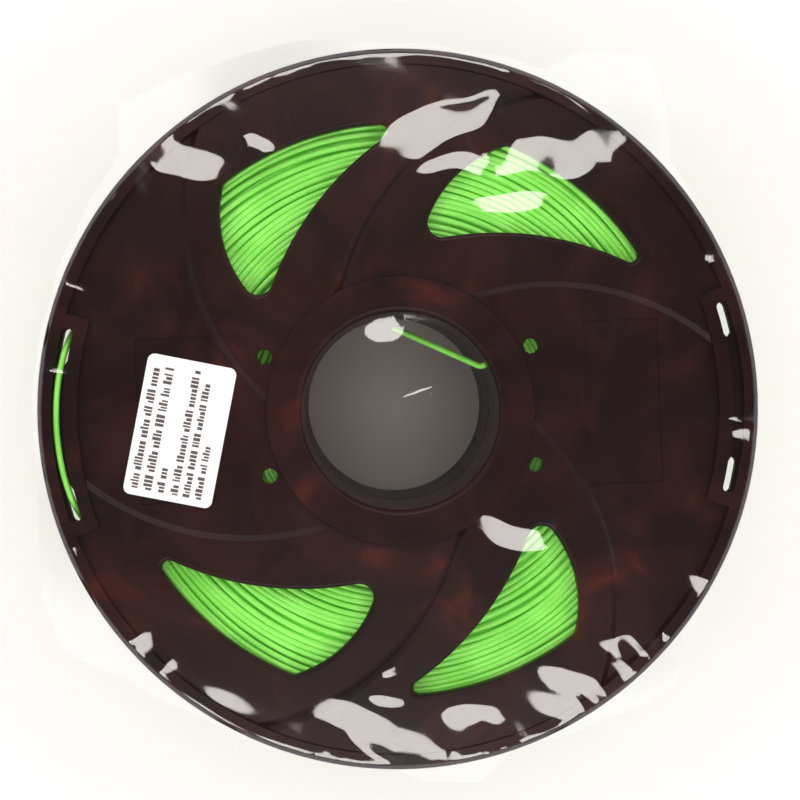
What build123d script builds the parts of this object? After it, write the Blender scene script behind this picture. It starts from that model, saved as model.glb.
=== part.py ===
"""Filament spool, sealed in a clear bag: two moulded flanges on a core, wound with 1.75 mm filament.

The spool lies on its lower flange. Its axis is +Z and the origin is the middle of the lower face.
The label sectors of the flanges lie along +X and -X.
"""

import os
from math import atan2, cos, radians, sin, tan

from build123d import *

# ---- overall sizes (mm) ----
flange_diameter = 200.0
spool_width = 65.0
bore_diameter = 55.0

# ---- flange: thickness of each level, measured from the inner face ----
rim_thickness = 4.0
label_sector_thickness = 2.0
middle_sector_thickness = 2.7
high_sector_thickness = 3.4
rim_width = 5.0
rim_slope = 0.8
rim_edge_radius = 0.9
bore_edge_radius = 1.6

# ---- swirl steps: arcs from the hub ring to the rim, one per sector ----
sector_count = 6
swirl_arc_radius = 71.4
swirl_centre_radius = 56.3
swirl_centre_angle = -43.4
swirl_slope = 1.6

# ---- windows, between the winding's edge, an inner arc and a side arc ----
window_outer_radius = 79.6
window_inner_arc = 85.6
window_inner_centre = (45.1, -55.2)
window_side_arc = 33.6
window_side_centre = (57.0, 44.3)
window_tip_corner = 2.0
window_outer_corner = 3.0
window_apex_corner = 4.0
window_edge_radius = 1.1

# ---- rim pads, each with two slots and a groove that hold the filament's end ----
pad_inner_radius = 89.0
pad_half_angle = 18.7
groove_radius = 94.5
groove_width = 3.1
groove_depth = 2.3
slot_radius = 93.9
slot_length = 9.8
slot_width = 2.7
slot_angle = 13.4

# ---- small holes and the shallow panel in each label sector ----
hole_diameter = 4.2
hole_circle_radius = 40.6
hole_angle = 24.1
panel_length = 46.0
panel_width = 21.0
panel_centre = 62.3
panel_depth = 0.4

# ---- core: a drum with inner webs, which slides over the flanges' bore sleeves ----
drum_diameter = 74.4
drum_wall = 2.0
sleeve_wall = 1.8
sleeve_gap = 1.0
web_thickness = 1.6
web_end_gap = 0.5
web_clearance = 0.1

# ---- collar on each flange that plugs into the drum and snaps into its groove ----
collar_height = 5.0
collar_wall = 2.0
collar_clearance = 0.1
ridge_height = 0.35
ridge_width = 1.0
ridge_to_face = 3.0

# ---- filament ----
filament_diameter = 1.75
winding_diameter = 161.0
winding_side_gap = 0.4
tail_clearance = 0.03
start_hole_diameter = 2.3
start_angle = 25.5
start_below_collar = 1.2
start_bend = 2.0
start_bend_to_wall = 1.3
start_tip_angle = 91.2
start_tip_to_wall = 3.9
start_drop = 9.8

# ---- label ----
label_width = 24.8
label_length = 39.5
label_corner = 2.0
label_thickness = 0.15
label_centre = (-61.3, -2.9)
label_tilt = -13.4

# ---- clear bag film, drawn over the top and in between the flanges, with a seam fin at half width ----
film_thickness = 0.3
film_clearance = 0.3
film_waist_depth = 12.0
seam_fin_width = 6.0

# ---- sizes that follow ----
flange_radius = flange_diameter / 2
bore_radius = bore_diameter / 2
rim_inner_radius = flange_radius - rim_width
drum_radius = drum_diameter / 2
drum_bore = drum_radius - drum_wall
core_length = spool_width - 2 * rim_thickness
inner_face = spool_width - rim_thickness
film_waist_radius = flange_radius - film_waist_depth
start_depth = rim_thickness + collar_height + start_below_collar
winding_radius = winding_diameter / 2
filament_radius = filament_diameter / 2
sector_pitch = 360 / sector_count
low = label_sector_thickness
pierce = 5.0
degrees_per_radian = 57.29578
standing = (Align.CENTER, Align.CENTER, Align.MIN)
from_edge = (Align.MIN, Align.CENTER, Align.MIN)


def polar(radius, angle):
    """The point at this radius and this angle in degrees."""
    return (radius * cos(radians(angle)), radius * sin(radians(angle)))


def ring(outer, inner, height):
    """A ring that stands on z = 0."""
    return Cylinder(outer, height, align=standing) - Cylinder(inner, height, align=standing)


def frustum(base, top, height):
    """A cone's frustum that stands on z = 0."""
    return Cone(base, top, height, align=standing)


def swirl_disc(index, thickness, slope):
    """The disc inside one swirl arc, from the low level up; its edge moves out by slope on the way."""
    centre = polar(swirl_centre_radius, swirl_centre_angle + index * sector_pitch)
    return Pos(*centre, low) * frustum(swirl_arc_radius, swirl_arc_radius + slope, thickness - low)


def raised_sector(index, thickness):
    """The sector between swirl arcs index - 1 and index, raised to thickness with sloped sides."""
    blank = Pos(0, 0, low) * ring(rim_inner_radius + rim_slope, bore_radius, thickness - low)
    kept = blank & swirl_disc(index, thickness, -swirl_slope)
    return kept - swirl_disc(index - 1, thickness, swirl_slope)


def sloped_ring(outer, inner_base, inner_top):
    """A ring of the rim's thickness whose inner wall slopes from inner_base to inner_top."""
    return Cylinder(outer, rim_thickness, align=standing) - frustum(inner_base, inner_top, rim_thickness)


def wedge(radius, half_angle, height):
    """A slice of a cylinder about +X."""
    points = [(0, 0), polar(radius, -half_angle), (radius * 1.2, 0), polar(radius, half_angle)]
    return extrude(make_face(Polyline(*points, close=True)), height)


def window_sketch():
    """Inside the outer circle and the side arc, outside the inner arc, its three corners rounded."""
    outer = Circle(window_outer_radius)
    side = Pos(*polar(*window_side_centre)) * Circle(window_side_arc)
    inner = Pos(*polar(*window_inner_centre)) * Circle(window_inner_arc)
    shape = (outer & side) - inner
    corners = sorted(shape.vertices(), key=lambda v: atan2(v.Y, v.X))
    places = [(v.X, v.Y, v.Z) for v in corners]
    for place, radius in zip(places, (window_tip_corner, window_outer_corner, window_apex_corner)):
        corner = shape.vertices().sort_by_distance(place)[0]
        shape = fillet(corner, radius)
    return shape


def arc_slot(radius, centre_angle, half_length, width):
    """A round-ended slot bent round the axis."""
    half_angle = half_length / radius * degrees_per_radian
    start, end = centre_angle - half_angle, centre_angle + half_angle
    path = ThreePointArc(polar(radius, start), polar(radius, centre_angle), polar(radius, end))
    return SlotArc(path, width)


def cut_window(body, turn, thickness):
    """Cuts one window through a sector of this thickness and rounds its outer edge."""
    outline = Rot(0, 0, turn) * window_sketch()
    body -= extrude(Pos(0, 0, -pierce) * outline, rim_thickness + 2 * pierce)
    middles = [edge @ 0.5 for edge in outline.edges()]
    rim = [body.edges().sort_by_distance((p.X, p.Y, thickness))[0] for p in middles]
    return fillet(rim, window_edge_radius)


def pad_cuts():
    """The two slots and the groove between them, on the pad about +X."""
    through = rim_thickness + 2 * pierce
    groove_half = slot_angle / degrees_per_radian * groove_radius + slot_length / 2
    groove = extrude(arc_slot(groove_radius, 0, groove_half - groove_width / 2, groove_width), through)
    cuts = Pos(0, 0, rim_thickness - groove_depth) * groove
    for angle in (-slot_angle, slot_angle):
        slot = extrude(arc_slot(slot_radius, angle, (slot_length - slot_width) / 2, slot_width), through)
        cuts += Pos(0, 0, -pierce) * slot
    return cuts


def panel_cuts():
    """The shallow panel and the two small holes in the label sector about +X."""
    panel = Box(panel_width, panel_length, rim_thickness, align=standing)
    cuts = Pos(panel_centre, 0, low - panel_depth) * panel
    for angle in (-hole_angle, hole_angle):
        place = Pos(*polar(hole_circle_radius, angle), -pierce)
        cuts += place * Cylinder(hole_diameter / 2, 3 * pierce, align=standing)
    return cuts


def bore_sleeve():
    """The half of the bore's lining on the inner face, with the hole for the filament's start."""
    length = core_length / 2 - sleeve_gap / 2
    sleeve = Pos(0, 0, -length) * ring(bore_radius + sleeve_wall, bore_radius, length)
    return sleeve - Pos(0, 0, rim_thickness - start_depth) * start_hole()


def start_hole():
    """A round hole along the radius at start_angle."""
    drill = Cylinder(start_hole_diameter / 2, flange_radius, align=standing)
    return Rot(0, 0, start_angle) * Rot(0, 90, 0) * drill


def collar():
    """The ring below the inner face that plugs into the drum, with its snap ridge."""
    outer = drum_bore - collar_clearance
    plug = Pos(0, 0, -collar_height) * ring(outer, outer - collar_wall, collar_height)
    ridge = ring(outer + ridge_height, outer - collar_wall, ridge_width)
    return plug + Pos(0, 0, -ridge_to_face - ridge_width / 2) * ridge


def round_circles(body, radius, level, rounding):
    """Rounds the edges of this radius at this height."""
    edges = body.edges().filter_by(GeomType.CIRCLE)
    chosen = [e for e in edges if abs(e.radius - radius) < 0.01 and abs((e @ 0).Z - level) < 0.01]
    return fillet(chosen, rounding)


def flange():
    """One flange with its inner face on z = 0 and its outer face up."""
    body = Cylinder(flange_radius, low, align=standing)
    body += sloped_ring(flange_radius, rim_inner_radius, rim_inner_radius + rim_slope)
    body += frustum(drum_radius + rim_slope, drum_radius, rim_thickness)
    heights = (None, middle_sector_thickness, high_sector_thickness)
    for index in range(sector_count):
        if heights[index % 3]:
            body += raised_sector(index, heights[index % 3])
    for index in range(sector_count):
        if heights[index % 3]:
            body = cut_window(body, (index - 1) * sector_pitch, heights[index % 3])
    for turn in (0, 180):
        pad = wedge(flange_radius, pad_half_angle, rim_thickness)
        pad &= ring(rim_inner_radius + rim_slope, pad_inner_radius, rim_thickness)
        body += Rot(0, 0, turn) * pad
        body -= Rot(0, 0, turn) * pad_cuts()
        body -= Rot(0, 0, turn) * panel_cuts()
    body += collar()
    body += bore_sleeve()
    body -= Cylinder(bore_radius, 2 * spool_width)
    body = round_circles(body, bore_radius, rim_thickness, bore_edge_radius)
    for level in (0, rim_thickness):
        body = round_circles(body, flange_radius, level, rim_edge_radius)
    return body


def winding_core():
    """The drum and its webs, standing on z = 0, with a snap groove near each end."""
    body = ring(drum_radius, drum_bore, core_length)
    groove_height = ridge_width + 2 * collar_clearance
    groove = ring(drum_bore + ridge_height + collar_clearance, bore_radius, groove_height)
    for height in (ridge_to_face, core_length - ridge_to_face):
        body -= Pos(0, 0, height - groove_height / 2) * groove
    web_end = collar_height + web_end_gap
    web_start = bore_radius + sleeve_wall + web_clearance
    web_span = drum_radius - drum_wall / 2 - web_start
    for index in range(sector_count):
        web = Box(web_span, web_thickness, core_length - 2 * web_end, align=from_edge)
        body += Rot(0, 0, index * sector_pitch) * Pos(web_start, 0, web_end) * web
    return body - Pos(0, 0, spool_width - rim_thickness - start_depth) * start_hole()


def filament_winding():
    """The wound filament as one plain solid between the flanges."""
    solid = ring(winding_radius, drum_radius, core_length - 2 * winding_side_gap)
    return Pos(0, 0, rim_thickness + winding_side_gap) * solid


def rod(points, radii):
    """Filament swept along straight runs joined by arcs of these radii."""
    path = FilletPolyline(*points, radius=radii)
    profile = Plane(origin=path @ 0, z_dir=path % 0) * Circle(filament_radius)
    return sweep(profile, path=path)


def corner_radii(points):
    """The arc at each corner: 0.45 of the shorter run, over the tangent of half the turn."""
    vectors = [Vector(*p) for p in points]
    radii = []
    for before, here, after in zip(vectors, vectors[1:], vectors[2:]):
        turn = (here - before).get_angle(after - here)
        shorter = min((here - before).length, (after - here).length)
        radii.append(0.45 * shorter / tan(radians(turn / 2)))
    return radii


def filament_tail():
    """The filament's end: up through one slot, along the groove and down through the other."""
    level = spool_width - groove_depth + filament_radius + tail_clearance
    half = [(17.2, 93.4, inner_face - 2.4), (15.2, 93.6, inner_face + 0.2), (12.6, 94.0, level)]
    half += [(8.4, 94.7, level), (4.2, 95.0, level)]
    route = half + [(0, 95.1, level)] + [(-angle, r, z) for angle, r, z in reversed(half)]
    points = [(*polar(r, 180 - angle), z) for angle, r, z in route]
    return rod(points, corner_radii(points))


def filament_start():
    """The filament's first end: in through the drum and the sleeve, then across the bore."""
    level = spool_width - start_depth
    drum_end = (*polar(drum_radius, start_angle), level)
    corner = (*polar(bore_radius - start_bend_to_wall, start_angle), level)
    tip = (*polar(bore_radius - start_tip_to_wall, start_tip_angle), level - start_drop)
    return rod([drum_end, corner, tip], [start_bend])


def spool_label():
    """A rounded paper label on the upper flange, turned by label_tilt."""
    sketch = RectangleRounded(label_width, label_length, label_corner)
    return Pos(*label_centre, inner_face + low) * Rot(0, 0, label_tilt) * extrude(sketch, label_thickness)


def film_envelope(gap, foot):
    """What a film at this gap from the spool encloses, down to foot, drawn in between the flanges."""
    top, side = spool_width + gap, flange_radius + gap
    waist_middle = (film_waist_radius + gap, spool_width / 2)
    waist = ThreePointArc((side, inner_face), waist_middle, (side, rim_thickness))
    upper = Polyline((0, foot), (0, top), (side, top), (side, inner_face))
    lower = Polyline((side, rim_thickness), (side, foot), (0, foot))
    solid = revolve(Plane.XZ * make_face([*upper.edges(), *waist.edges(), *lower.edges()]), Axis.Z)
    return round_circles(solid, side, top, rim_edge_radius + gap)


def seam_fin(foot):
    """The flat edge of one sheet outside the seam, standing on z = foot."""
    outer = flange_radius + film_clearance + film_thickness + seam_fin_width
    return Pos(0, 0, foot) * ring(outer, film_waist_radius + film_clearance, film_thickness)


def bag_sheets():
    """The front and the back sheet of the bag, welded to each other at half the spool's width."""
    shell = film_envelope(film_clearance + film_thickness, 0) - film_envelope(film_clearance, -pierce)
    seam = spool_width / 2
    room = Box(2 * flange_diameter, 2 * flange_diameter, spool_width, align=standing)
    front = (shell & Pos(0, 0, seam) * room) + seam_fin(seam)
    back = (shell & Pos(0, 0, seam - spool_width) * room) + seam_fin(seam - film_thickness)
    return front, back


one_flange = flange()
front_sheet, back_sheet = bag_sheets()
parts = {
    "upper_flange": Pos(0, 0, inner_face) * one_flange,
    "lower_flange": Pos(0, 0, rim_thickness) * Rot(180, 0, 0) * one_flange,
    "winding_core": Pos(0, 0, rim_thickness) * winding_core(),
    "filament_winding": filament_winding(),
    "filament_tail": filament_tail(),
    "filament_start": filament_start(),
    "spool_label": spool_label(),
    "bag_front_sheet": front_sheet,
    "bag_back_sheet": back_sheet,
}

os.makedirs("parts", exist_ok=True)
for name, shape in parts.items():
    shape.label = name
    export_step(shape, f"parts/{name}.step")
    print(name, round(shape.volume, 1))
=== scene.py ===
"""Filament spool sealed in its clear bag: light, camera, materials and the pieces that CAD leaves plain."""

import math

import bpy
import numpy as np
from mathutils import Euler, Matrix, Vector


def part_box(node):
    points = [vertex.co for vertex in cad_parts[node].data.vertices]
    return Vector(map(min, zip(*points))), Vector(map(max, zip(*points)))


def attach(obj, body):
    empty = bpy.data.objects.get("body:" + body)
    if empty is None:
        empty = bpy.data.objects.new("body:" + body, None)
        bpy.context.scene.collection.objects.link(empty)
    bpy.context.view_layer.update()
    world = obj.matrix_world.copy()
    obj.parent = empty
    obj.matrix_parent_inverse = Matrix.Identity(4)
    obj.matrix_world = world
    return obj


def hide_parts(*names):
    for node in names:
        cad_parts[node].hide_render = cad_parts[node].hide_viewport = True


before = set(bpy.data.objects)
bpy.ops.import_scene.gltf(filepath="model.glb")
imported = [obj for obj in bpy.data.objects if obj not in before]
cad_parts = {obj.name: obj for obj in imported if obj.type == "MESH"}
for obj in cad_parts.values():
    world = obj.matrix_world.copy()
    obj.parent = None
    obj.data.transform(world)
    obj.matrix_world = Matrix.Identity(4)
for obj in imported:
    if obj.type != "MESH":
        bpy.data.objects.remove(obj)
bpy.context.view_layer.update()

MM = 0.001

# ---- sizes read from the frame, in millimetres ----
upper_low, upper_high = (np.array(corner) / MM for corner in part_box("upper_flange"))
winding_low, winding_high = (np.array(corner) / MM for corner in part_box("filament_winding"))
label_low, label_high = (np.array(corner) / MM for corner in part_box("spool_label"))
spool_width = float(upper_high[2])
flange_radius = float(upper_high[0])
winding_radius = float(winding_high[0])
drum_radius = 37.2
bore_radius = 27.5
filament_diameter = 1.75
filament_radius = filament_diameter / 2


# ---- small helpers ----
def linear(hex_colour):
    """An sRGB hex value as linear red, green, blue and alpha."""
    parts = [int(hex_colour[i:i + 2], 16) / 255 for i in (1, 3, 5)]
    return (*[p / 12.92 if p <= 0.04045 else ((p + 0.055) / 1.055) ** 2.4 for p in parts], 1.0)


def node(material, kind, links=(), **settings):
    """Adds a node to a material. settings are its sockets or properties, and links are (socket, source)."""
    made = material.node_tree.nodes.new(kind)
    for name, value in settings.items():
        key = name.replace("_", " ")
        if key in made.inputs:
            made.inputs[key].default_value = value
        else:
            setattr(made, name, value)
    for socket, source in links:
        material.node_tree.links.new(source, made.inputs[socket])
    return made


def new_material(name):
    """An empty node material with its Principled shader wired to the output."""
    material = bpy.data.materials.new(name)
    material.use_nodes = True
    return material, material.node_tree.nodes["Principled BSDF"]


def wire(material, source, shader, socket):
    """Links a node's output to a shader's socket."""
    material.node_tree.links.new(source, shader.inputs[socket])


def mesh_piece(name, points, faces, material, body="root"):
    """A smooth mesh object from points in millimetres, riding on a body. faces is an array or a list."""
    mesh = bpy.data.meshes.new(name)
    faces = faces.tolist() if isinstance(faces, np.ndarray) else faces
    mesh.from_pydata((np.asarray(points, float) * MM).tolist(), [], faces)
    mesh.polygons.foreach_set("use_smooth", np.ones(len(mesh.polygons), bool))
    mesh.update()
    piece = bpy.data.objects.new(name, mesh)
    bpy.context.scene.collection.objects.link(piece)
    mesh.materials.append(material)
    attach(piece, body)
    return piece


def grid_faces(rows, columns, wrap=True):
    """Quads of a grid of rows by columns, closed round its columns when wrap is true."""
    row = np.arange(rows - 1)[:, None] * columns
    here = np.arange(columns if wrap else columns - 1)[None, :]
    beside = (here + 1) % columns
    return np.stack([row + here, row + beside, row + columns + beside, row + columns + here], -1).reshape(-1, 4)


def waves(count, low, high, seed):
    """A smooth seeded noise of one angle: whole-number waves between low and high, of unit size."""
    source = np.random.default_rng(seed)
    numbers = source.integers(low, high, count)
    phases = source.uniform(0, 2 * math.pi, count)
    return lambda t: sum(np.sin(n * t + p) for n, p in zip(numbers, phases)) / math.sqrt(count)


def ripples(count, short, long, seed):
    """A smooth seeded noise of x and y: plane waves with wavelengths from short to long, of unit size."""
    source = np.random.default_rng(seed)
    angles = source.uniform(0, math.pi, count)
    numbers = 2 * math.pi / source.uniform(short, long, count)
    phases = source.uniform(0, 2 * math.pi, count)

    def height(x, y):
        total = sum(
            np.sin(k * (x * math.cos(a) + y * math.sin(a)) + p) for k, a, p in zip(numbers, angles, phases)
        )
        return total / math.sqrt(count)

    return height


# ---- materials ----
# noise scales are per metre, so 28 is patches of about 36 mm, 60 is 17 mm, 90 is 11 mm, 500 is 2 mm, 1400 is 0.7 mm
def moulded_styrene():
    """Black polystyrene, injection moulded: satin, with a dark red cast and a few red-brown streaks."""
    material, shader = new_material("moulded_black_styrene")
    place = node(material, "ShaderNodeTexCoord").outputs["Object"]
    cast = node(
        material, "ShaderNodeTexNoise", [("Vector", place)], Scale=28.0, Detail=3.0, Roughness=0.6, Distortion=1.2
    )
    ramp = node(material, "ShaderNodeValToRGB", [("Fac", cast.outputs["Fac"])])
    ramp.color_ramp.elements[0].position = 0.42
    ramp.color_ramp.elements[0].color = linear("#190807")
    ramp.color_ramp.elements[1].position = 0.62
    ramp.color_ramp.elements[1].color = linear("#2b100e")
    ramp.color_ramp.elements.new(0.74).color = linear("#4a1b11")
    wire(material, ramp.outputs["Color"], shader, "Base Color")
    grain = node(material, "ShaderNodeTexNoise", [("Vector", place)], Scale=1400.0, Detail=2.0)
    bump = node(material, "ShaderNodeBump", [("Height", grain.outputs["Fac"])], Strength=0.05, Distance=0.0001)
    wire(material, bump.outputs["Normal"], shader, "Normal")
    smear = node(material, "ShaderNodeTexNoise", [("Vector", place)], Scale=60.0, Detail=4.0)
    gloss = node(material, "ShaderNodeMapRange", [("Value", smear.outputs["Fac"])], To_Min=0.26, To_Max=0.42)
    wire(material, gloss.outputs["Result"], shader, "Roughness")
    shader.inputs["IOR"].default_value = 1.55
    shader.inputs["Specular IOR Level"].default_value = 0.12
    return material


def green_pla():
    """Bright green PLA, extruded: glossy skin, a little light passes through it."""
    material, shader = new_material("green_pla_filament")
    place = node(material, "ShaderNodeTexCoord").outputs["Object"]
    tone = node(material, "ShaderNodeTexNoise", [("Vector", place)], Scale=90.0, Detail=2.0)
    ramp = node(material, "ShaderNodeValToRGB", [("Fac", tone.outputs["Fac"])])
    ramp.color_ramp.elements[0].position = 0.3
    ramp.color_ramp.elements[0].color = linear("#7fe04c")
    ramp.color_ramp.elements[1].position = 0.7
    ramp.color_ramp.elements[1].color = linear("#98f566")
    wire(material, ramp.outputs["Color"], shader, "Base Color")
    shader.inputs["Roughness"].default_value = 0.3
    shader.inputs["IOR"].default_value = 1.46
    shader.inputs["Subsurface Weight"].default_value = 0.15
    shader.inputs["Subsurface Scale"].default_value = 0.0012
    return material


def label_paper():
    """Coated label paper: matt white with the faintest mottle."""
    material, shader = new_material("coated_label_paper")
    place = node(material, "ShaderNodeTexCoord").outputs["Object"]
    tone = node(material, "ShaderNodeTexNoise", [("Vector", place)], Scale=500.0, Detail=3.0)
    ramp = node(material, "ShaderNodeValToRGB", [("Fac", tone.outputs["Fac"])])
    ramp.color_ramp.elements[0].color = linear("#f4f2ef")
    ramp.color_ramp.elements[1].color = linear("#fdfcfa")
    wire(material, ramp.outputs["Color"], shader, "Base Color")
    shader.inputs["Roughness"].default_value = 0.5
    return material


def label_ink():
    """Black thermal print on the label."""
    material, shader = new_material("thermal_print")
    shader.inputs["Base Color"].default_value = linear("#524b48")
    shader.inputs["Roughness"].default_value = 0.6
    return material


def clear_film():
    """Clear polythene film: light goes straight through all but 7% of it, and that share is a smooth mirror. It
    stands in for the reflection of the film's two faces, and doesn't bend the light that passes."""
    material, shader = new_material("clear_polythene_film")
    shader.inputs["Base Color"].default_value = linear("#ffffff")
    shader.inputs["Metallic"].default_value = 1.0
    shader.inputs["Roughness"].default_value = 0.07
    shader.inputs["Alpha"].default_value = 0.07
    return material


def pale_floor():
    """Matt, warm white studio paper."""
    material, shader = new_material("studio_paper")
    shader.inputs["Base Color"].default_value = linear("#f5f1f2")
    shader.inputs["Roughness"].default_value = 0.9
    return material


# ---- wound filament ----
def turn_tube(angle, radius, height, sides):
    """A tube of the filament's thickness round the axis: its centre line is at radius and height for each
    angle, and its section is a circle in the plane of the axis."""
    around = np.linspace(0, 2 * math.pi, sides, endpoint=False)[None, :]
    reach = radius[:, None] + filament_radius * np.cos(around)
    x = reach * np.cos(angle[:, None])
    y = reach * np.sin(angle[:, None])
    z = height[:, None] + filament_radius * np.sin(around)
    return np.stack([x, y, z], -1).reshape(-1, 3), grid_faces(len(angle), sides)


def end_caps(rings, sides):
    """Quads that close both open ends of a tube with an even number of sides: strips across each end ring."""
    step = np.arange(sides // 2 - 1)
    strip = np.stack([step, sides - 1 - step, sides - 2 - step, step + 1], -1)
    return np.concatenate([strip[:, ::-1], strip + (rings - 1) * sides])[:, ::-1]


def joined(parts):
    """Several (points, faces) pairs as one."""
    points, faces, count = [], [], 0
    for some_points, some_faces in parts:
        points.append(some_points)
        faces.append(np.asarray(some_faces) + count)
        count += len(some_points)
    return np.concatenate(points), np.concatenate(faces)


def face_spiral(level, direction, seed):
    """One layer of turns on a side face of the winding: a spiral that gains one thickness per turn, whose
    radius and height wander a little with smooth noise, closed at both ends."""
    pitch = filament_diameter * 1.02
    inner, outer = drum_radius + filament_radius, winding_radius - filament_radius
    turns = (outer - inner) / pitch
    angle = np.linspace(0, 2 * math.pi * turns, int(turns * 200))
    sway, drift, dip = waves(5, 1, 7, seed), waves(3, 1, 4, seed + 1), waves(6, 2, 11, seed + 2)
    share = angle / angle[-1]
    wander = 0.5 * sway(angle + 2.2 * share * direction) + 0.5 * drift(angle * 1.013 + 9 * share)
    radius = inner + share * (outer - inner) + wander
    height = level + 0.3 * dip(angle * 1.07 + 5 * share)
    points, faces = turn_tube(direction * angle, np.clip(radius, inner, outer), height, 8)
    faces = np.concatenate([faces, end_caps(len(angle), 8)])
    return points, faces[:, ::-direction]


def winding_face(name, level, below, material):
    """A side face of the winding: a top layer of turns and one beneath it that runs the other way."""
    parts = [face_spiral(level, 1, 11), face_spiral(level + below, -1, 23)]
    return mesh_piece(name, *joined(parts), material)


def winding_side(material):
    """The outer layer of turns side by side, over a plain drum of filament that closes the gaps."""
    bottom, top = winding_low[2] + filament_radius, winding_high[2] - filament_radius
    count = int((top - bottom) / filament_diameter)
    parts = []
    angle = np.linspace(0, 2 * math.pi, 180, endpoint=False)
    for index, level in enumerate(np.linspace(bottom, top, count + 1)):
        wobble = waves(4, 1, 6, 40 + index)
        radius = winding_radius - filament_radius - 0.25 + 0.2 * wobble(angle)
        points, faces = turn_tube(angle, radius, level + 0.18 * wobble(angle + 2), 8)
        faces = grid_faces(len(angle) + 1, 8)[:, ::-1] % len(points)
        parts.append((points, faces))
    return mesh_piece("wound_filament_side", *joined(parts), material)


def winding_bulk(material):
    """The filament behind the seen turns: a ring with a square section, a turn inside the winding's faces."""
    inset = filament_diameter
    profile = np.array([
        (drum_radius, winding_low[2] + inset), (winding_radius - inset, winding_low[2] + inset),
        (winding_radius - inset, winding_high[2] - inset), (drum_radius, winding_high[2] - inset),
    ])
    angle = np.linspace(0, 2 * math.pi, 180, endpoint=False)
    x = profile[None, :, 0] * np.cos(angle[:, None])
    y = profile[None, :, 0] * np.sin(angle[:, None])
    z = np.broadcast_to(profile[None, :, 1], x.shape)
    points = np.stack([x, y, z], -1).reshape(-1, 3)
    return mesh_piece("wound_filament_bulk", points, grid_faces(181, 4)[:, ::-1] % len(points), material)


# ---- label print ----
label_centre = (label_low + label_high)[:2] / 2
label_tilt = math.radians(-13.4)
label_width, label_length = 24.8, 39.5
# rows of generic print: distance from the label's left edge, bar height and row length
print_rows = [
    (2.7, 2.3, 33.5), (6.5, 2.4, 34.0), (10.1, 2.2, 6.5), (14.0, 2.1, 34.5), (17.4, 1.9, 31.5), (20.7, 1.9, 14.5),
]


def label_print(material):
    """Rows of plain bars in place of print, grouped like words, that run along the label's long side."""
    source = np.random.default_rng(31)
    corners = []
    for left, height, length in print_rows:
        along, left_in_word = 2.0, int(source.integers(3, 8))
        while along < 2.0 + length:
            width = source.uniform(0.45, 0.95)
            tall = height * (1.0 if source.random() < 0.55 else 0.72)
            right_edge = left + height / 2 - label_width / 2
            low = along - label_length / 2
            left_edge, high = right_edge - tall, low + width
            corners += [(left_edge, low), (right_edge, low), (right_edge, high), (left_edge, high)]
            left_in_word -= 1
            along += width + (0.3 if left_in_word else 1.1)
            left_in_word = left_in_word or int(source.integers(3, 9))
    flat = np.array(corners)
    cos, sin = math.cos(label_tilt), math.sin(label_tilt)
    x = label_centre[0] + flat[:, 0] * cos - flat[:, 1] * sin
    y = label_centre[1] + flat[:, 0] * sin + flat[:, 1] * cos
    points = np.stack([x, y, np.full_like(x, label_high[2] + 0.02)], -1)
    return mesh_piece("label_print", points, np.arange(len(points)).reshape(-1, 4), material)


# ---- bag film ----
film_level = spool_width + 0.45
fin_level = (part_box("bag_front_sheet")[0][2] / MM) + 0.15
rim_side = flange_radius + 0.45
film_columns = 480
# the arcs that the flange's swirl steps follow: radius, and the distance and degrees of the first one's centre
swirl_radius, swirl_centre, swirl_angle = 71.4, 56.3, -43.4

# the seam fin's outline as (degrees, radius): near the rim, with loose corners left over from a square bag
fin_outline = np.array([
    (-2, 110.6), (13, 109), (28, 109.5), (40, 112), (44, 120), (52, 133), (60, 122.5), (64, 112), (78, 109.5),
    (93, 110), (102, 113.6), (116, 116), (130, 125), (135, 113), (148, 109.5), (163, 109), (178, 109),
    (188, 109.5), (194, 112), (206, 121), (214, 126.5), (223, 117), (236, 111), (250, 110), (266, 109.5),
    (273, 116), (280, 119), (286, 111), (300, 115), (308, 119), (313, 120.4), (320, 113), (333, 110), (348, 109.5),
])

# raised folds in the front sheet: x, y, length, width, degrees, slope, and +1 or -1 for the side they fall to
folds = [
    (-55.1, 71.4, 28, 10, -21, 0.13, 1), (-34.9, 74.5, 12, 4, -24, 0.16, 1), (13.3, 77.5, 44, 9, 21, 0.165, 1),
    (44.4, 68.8, 80, 10, 1, 0.15, 1), (30.0, 55.3, 34, 6, 4, 0.25, 1), (28.5, -35.2, 26, 6, -19, 0.20, -1),
    (59.2, -67.8, 22, 5, -12, 0.18, -1), (44.7, -77.9, 27, 7, -24, 0.14, -1), (16.4, -85.8, 20, 5, -5, 0.11, -1),
    (-9.6, -89.7, 46, 9, -32, 0.11, -1), (-5.0, -71.9, 9, 3, 28, 0.20, -1), (-7.8, -80.3, 14, 3, -12, 0.14, -1),
    (15.0, 65.5, 26, 8, 8, 0.10, 1), (-4.0, 22.5, 12, 6, -3, 0.10, -1), (3.3, 4.6, 17, 0.8, 16, 0.25, -1),
    (5.5, 2.5, 12, 0.8, 34, 0.28, 1),
]


def smooth(value, start, end):
    """0 before start, 1 after end, and an S curve between."""
    t = np.clip((value - start) / (end - start), 0, 1)
    return t * t * (3 - 2 * t)


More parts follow.
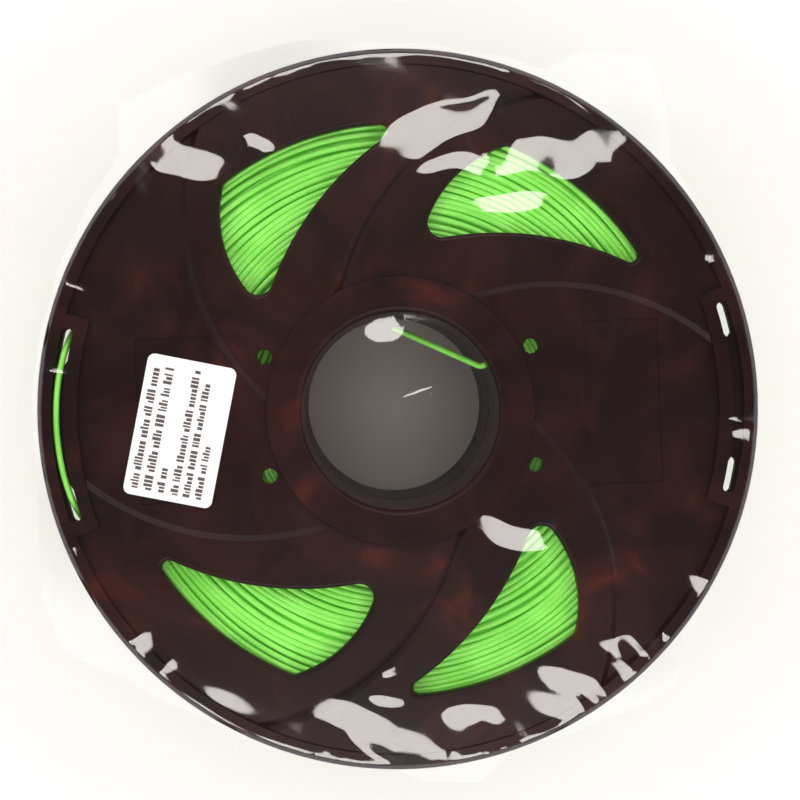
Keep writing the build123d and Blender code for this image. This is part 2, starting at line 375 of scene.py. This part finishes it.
def sector_dip(x, y):
    """How far the vacuum pulls the front sheet down on each swirled sector: least on the high ones and most on
    the low ones, with an S curve over each step and no dip on the hub and the rim."""
    dip = 0
    outside = []
    for index in range(6):
        centre = math.radians(swirl_angle + 60 * index)
        away = np.hypot(x - swirl_centre * math.cos(centre), y - swirl_centre * math.sin(centre))
        outside.append(away - swirl_radius)
    for index in range(6):
        depth = (0.75, 0.4, 0.25)[index % 3]
        dip -= depth * (1 - smooth(outside[index], -1.4, 1.4)) * smooth(outside[index - 1], -1.4, 1.4)
    r = np.hypot(x, y)
    return dip * (0.3 * smooth(r, 37, 40) + 0.7 * smooth(r, 40, 62)) * (1 - smooth(r, 80, 93.5))


def fold_height(x, y):
    """Height of the raised folds, and how far each point is lifted off the plate by the nearest, from 0 to 1.
    Across a fold the film climbs slowly for a few widths, then falls at the fold's slope over its width; along
    it the height fades to nothing at both ends."""
    bend_across, bend_along = ripples(7, 14, 40, 3), ripples(5, 18, 50, 4)
    total, lifted = np.zeros_like(x), np.zeros_like(x)
    for centre_x, centre_y, length, width, degrees, slope, side in folds:
        cos, sin = math.cos(math.radians(degrees)), math.sin(math.radians(degrees))
        along = (x - centre_x) * cos + (y - centre_y) * sin + 0.05 * length * bend_along(x, y)
        across = side * (-(x - centre_x) * sin + (y - centre_y) * cos) + 0.16 * width * bend_across(x, y)
        climb = 1.6 * width + 6
        half = width / 2 * np.clip(1.1 - 0.8 * (2 * along / length) ** 2, 0.2, 1)
        height = slope * (half - np.clip(across, -half, half))
        height = height * np.exp(-(np.clip(-across - half, 0, None) / climb) ** 2 * 2)
        total += height * np.clip(1 - (2 * np.abs(along) / length) ** 4, 0, 1)
        nearness = np.exp(-(across / (width + 7)) ** 2 - (1.5 * along / length) ** 4)
        lifted = np.maximum(lifted, nearness * min(1, width / 4))
    return total, lifted


def pleats(angle, count, seed):
    """Narrow radial creases: a sum of sharp bumps at seeded angles, each a degree or two wide."""
    source = np.random.default_rng(seed)
    total = np.zeros_like(angle)
    for place, spread, size in zip(
        source.uniform(0, 2 * math.pi, count), source.uniform(0.010, 0.035, count), source.uniform(0.3, 1.0, count)
    ):
        away = (angle - place + math.pi) % (2 * math.pi) - math.pi
        total += size * np.exp(-np.abs(away) / spread)
    return total


def front_height(x, y):
    """Height of the front sheet's top over its flat level: a dish over the bore, folds and ripples that grow
    towards the rim, and creases at the rim itself."""
    r, angle = np.hypot(x, y), np.arctan2(y, x)
    share = np.clip(r / bore_radius, 0, 1)
    dish = -(2.6 + 0.5 * y / bore_radius) * (1 - share ** 2)
    calm = 0.06 * ripples(12, 26, 70, 5)(x, y) + 0.008 * ripples(12, 7, 16, 6)(x, y)
    lively = 0.24 * ripples(14, 10, 36, 8)(x, y) * smooth(r, 82, 97)
    crease = 0.7 * pleats(angle, 46, 9) * smooth(r, 84, 97)
    height, lifted = fold_height(x, y)
    return dish + sector_dip(x, y) * (1 - lifted) + height + calm + lively + crease


def fin_radius(angle):
    """Radius of the seam fin's edge at each angle."""
    turn_degrees = np.degrees(angle) % 360
    table = np.concatenate([fin_outline, fin_outline[:2] + (360, 0)])
    table = np.concatenate([fin_outline[-1:] - (360, 0), table])
    return np.interp(turn_degrees, table[:, 0], table[:, 1]) + 0.4 * waves(6, 9, 40, 14)(angle)


def between_flanges(angle, share, edge_level):
    """Radius and height of the film between a flange's rim and the seam: drawn in between the flanges, less so
    where a loose corner pulls it out, with pleats that deepen towards the seam."""
    pull = smooth(fin_radius(angle), 111, 120)
    waist = 88.8 + 16.0 * pull + 1.6 * waves(9, 5, 26, 15)(angle) - 2.2 * pleats(angle, 60, 16)
    eased = share * share * (3 - 2 * share)
    drawn = np.sin(share * math.pi / 2) ** 0.8
    radius = rim_side + (waist - rim_side) * drawn
    return radius, edge_level + (fin_level - edge_level) * (0.35 * share + 0.65 * eased)


def fin_wave(angle, radius):
    """Height of the seam fin over its level: it droops, with waves that grow outwards."""
    droop = 0.38 * np.clip(radius - 100, 0, None)
    long_waves, short_waves = 2.4 * waves(6, 2, 9, 17)(angle), 0.5 * waves(8, 10, 24, 18)(angle)
    return -droop + smooth(radius, 97, 125) * (long_waves + short_waves)


def film_rings(level_at_rim, sign):
    """Rings of the film from a flange's rim edge to the seam fin's edge. sign is 1 for the front sheet, above
    the fin, and -1 for the back sheet, below it."""
    angle = np.linspace(0, 2 * math.pi, film_columns, endpoint=False)
    rings = []
    for share in np.linspace(0.03, 1, 34):
        radius, level = between_flanges(angle, share, level_at_rim)
        rings.append((radius, level + 0.15 * sign * share))
    inner, outer = rings[-1][0], fin_radius(angle)
    for share in np.linspace(0, 1, 17)[1:]:
        radius = inner + (outer - inner) * share
        rings.append((radius, fin_level + 0.15 * sign + fin_wave(angle, radius)))
    return angle, rings


def as_points(angle, rings):
    """Ring radii and heights as points, one row per ring."""
    radius = np.array([ring[0] for ring in rings])
    height = np.array([ring[1] + 0 * angle for ring in rings])
    return np.stack([radius * np.cos(angle), radius * np.sin(angle), height], -1).reshape(-1, 3)


def front_film(material):
    """The front sheet: its top, a roll over the rim's edge, the drawn-in side and the seam fin, closed at the
    centre with a fan."""
    angle = np.linspace(0, 2 * math.pi, film_columns, endpoint=False)
    radii = np.concatenate([np.arange(0.6, 28, 0.6), np.arange(28.5, rim_side - 1.6, 0.85)])
    x, y = radii[:, None] * np.cos(angle), radii[:, None] * np.sin(angle)
    rings = [(np.full_like(angle, r), film_level + h) for r, h in zip(radii, front_height(x, y))]
    last = rings[-1]
    for lean in np.radians([15, 32, 50, 68, 85]):
        radius = last[0] + (rim_side - last[0]) * math.sin(lean)
        fade = 1 - smooth(math.degrees(lean), 0, 90)
        height = film_level - 2.2 * (1 - math.cos(lean)) + (last[1] - film_level) * fade
        rings.append((radius, height))
    sides = film_rings(film_level - 2.4, 1)[1]
    points = as_points(angle, rings + sides)
    faces = grid_faces(len(rings) + len(sides), film_columns)
    points = np.concatenate([points, [(0, 0, float(rings[0][1].mean()))]])
    beside = (np.arange(film_columns) + 1) % film_columns
    fan = [[len(points) - 1, int(a), int(b)] for a, b in zip(range(film_columns), beside)]
    return film_piece("bag_film_front", points, faces[:, ::-1].tolist() + fan, material)


def back_film(material):
    """The back sheet: from the floor up round the lower flange's rim, drawn in, and out to the seam fin."""
    angle, sides = film_rings(3.4, -1)
    foot = [(np.full_like(angle, radius), level) for radius, level in ((rim_side - 0.1, 0.1), (rim_side, 1.6))]
    points = as_points(angle, foot + sides)
    faces = grid_faces(len(foot) + len(sides), film_columns)
    return film_piece("bag_film_back", points, faces, material)


def film_piece(name, points, faces, material):
    """A film mesh in the film's slot, which casts no shadow because almost all light goes through it."""
    piece = mesh_piece(name, points, faces, material)
    piece.visible_shadow = False
    return piece


# ---- build ----
styrene = moulded_styrene()
pla = green_pla()
paper = label_paper()
ink = label_ink()
film = clear_film()

finishes = {
    "upper_flange": styrene, "lower_flange": styrene, "winding_core": styrene,
    "filament_tail": pla, "filament_start": pla, "spool_label": paper,
    "bag_front_sheet": film, "bag_back_sheet": film,
}
for name, material in finishes.items():
    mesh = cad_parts[name].data
    mesh.materials.clear()
    mesh.materials.append(material)

side = winding_side(pla)
bulk = winding_bulk(pla)
upper_turns = winding_face(
    "wound_filament_upper_face", winding_high[2] - filament_radius, -1.45, pla
)
lower_turns = winding_face(
    "wound_filament_lower_face", winding_low[2] + filament_radius, 1.45, pla
)
for piece in (side, bulk, upper_turns, lower_turns):
    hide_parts("filament_winding")

printing = label_print(ink)

front_piece, back_piece = front_film(film), back_film(film)
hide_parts("bag_front_sheet")
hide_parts("bag_back_sheet")

# ---- floor, light and camera ----
scene = bpy.context.scene
scene.view_settings.view_transform = "Standard"

floor_mesh = bpy.data.meshes.new("floor")
floor_mesh.from_pydata([(-30, -30, 0), (30, -30, 0), (30, 30, 0), (-30, 30, 0)], [], [(0, 1, 2, 3)])
floor = bpy.data.objects.new("floor", floor_mesh)
scene.collection.objects.link(floor)
floor_mesh.materials.append(pale_floor())

world = bpy.data.worlds.new("studio")
scene.world = world
world.use_nodes = True
sky = world.node_tree
direction = sky.nodes.new("ShaderNodeTexCoord")
split = sky.nodes.new("ShaderNodeSeparateXYZ")
band = sky.nodes.new("ShaderNodeMapRange")
band.interpolation_type = "SMOOTHSTEP"
band.inputs["From Min"].default_value, band.inputs["From Max"].default_value = 0.9, 0.58
band.inputs["To Min"].default_value, band.inputs["To Max"].default_value = 0.06, 1.33
sky.links.new(direction.outputs["Generated"], split.inputs[0])
sky.links.new(split.outputs["Z"], band.inputs["Value"])
sky.links.new(band.outputs["Result"], sky.nodes["Background"].inputs["Strength"])
sky.nodes["Background"].inputs["Color"].default_value = linear("#fffdff")


def softbox(name, place, size, watts, tint, shines=True, shows=True):
    """A rectangular softbox at place, in metres, that faces the spool. shines is whether it lights matt
    surfaces, and shows is whether glossy ones mirror it."""
    lamp = bpy.data.lights.new(name, "AREA")
    lamp.shape = "RECTANGLE"
    lamp.size, lamp.size_y = size
    lamp.energy = watts
    lamp.color = tint
    holder = bpy.data.objects.new(name, lamp)
    scene.collection.objects.link(holder)
    holder.location = place
    holder.rotation_euler = (-Vector(place)).to_track_quat("-Z", "Y").to_euler()
    holder.visible_diffuse, holder.visible_glossy = shines, shows


softbox("softbox_far", (0.0, 0.515, 1.065), (0.62, 0.25), 4.1, (1.0, 0.96, 0.91), shines=False)
softbox("softbox_near", (0.0, -0.515, 1.065), (0.62, 0.25), 4.1, (1.0, 0.96, 0.91), shines=False)
softbox("overhead_fill", (0.0, 0.0, 1.3), (1.0, 1.0), 3.5, (1.0, 0.86, 0.74), shows=False)
for index in range(6):
    bearing = math.radians(60 * index)
    place = (1.5 * math.cos(bearing), 1.5 * math.sin(bearing), 1.1)
    softbox(f"ring_fill_{index}", place, (1.2, 0.8), 4.15, (1.0, 0.965, 0.985), shows=False)

camera_height = 389.06
camera_turn = math.radians(-2.4)
lens = bpy.data.cameras.new("camera")
lens.sensor_width = 36.0
lens.lens = 63.33
camera = bpy.data.objects.new("camera", lens)
scene.collection.objects.link(camera)
tilt = Euler((-0.0242, -0.0345, 0.0), "XYZ").to_matrix().to_4x4()
offset = Matrix.Rotation(camera_turn, 4, "Z") @ Matrix.Translation((-13.67 * MM, 12.52 * MM, 0))
camera.matrix_world = Matrix.Translation((0, 0, (spool_width + camera_height) * MM)) @ offset @ tilt
scene.camera = camera
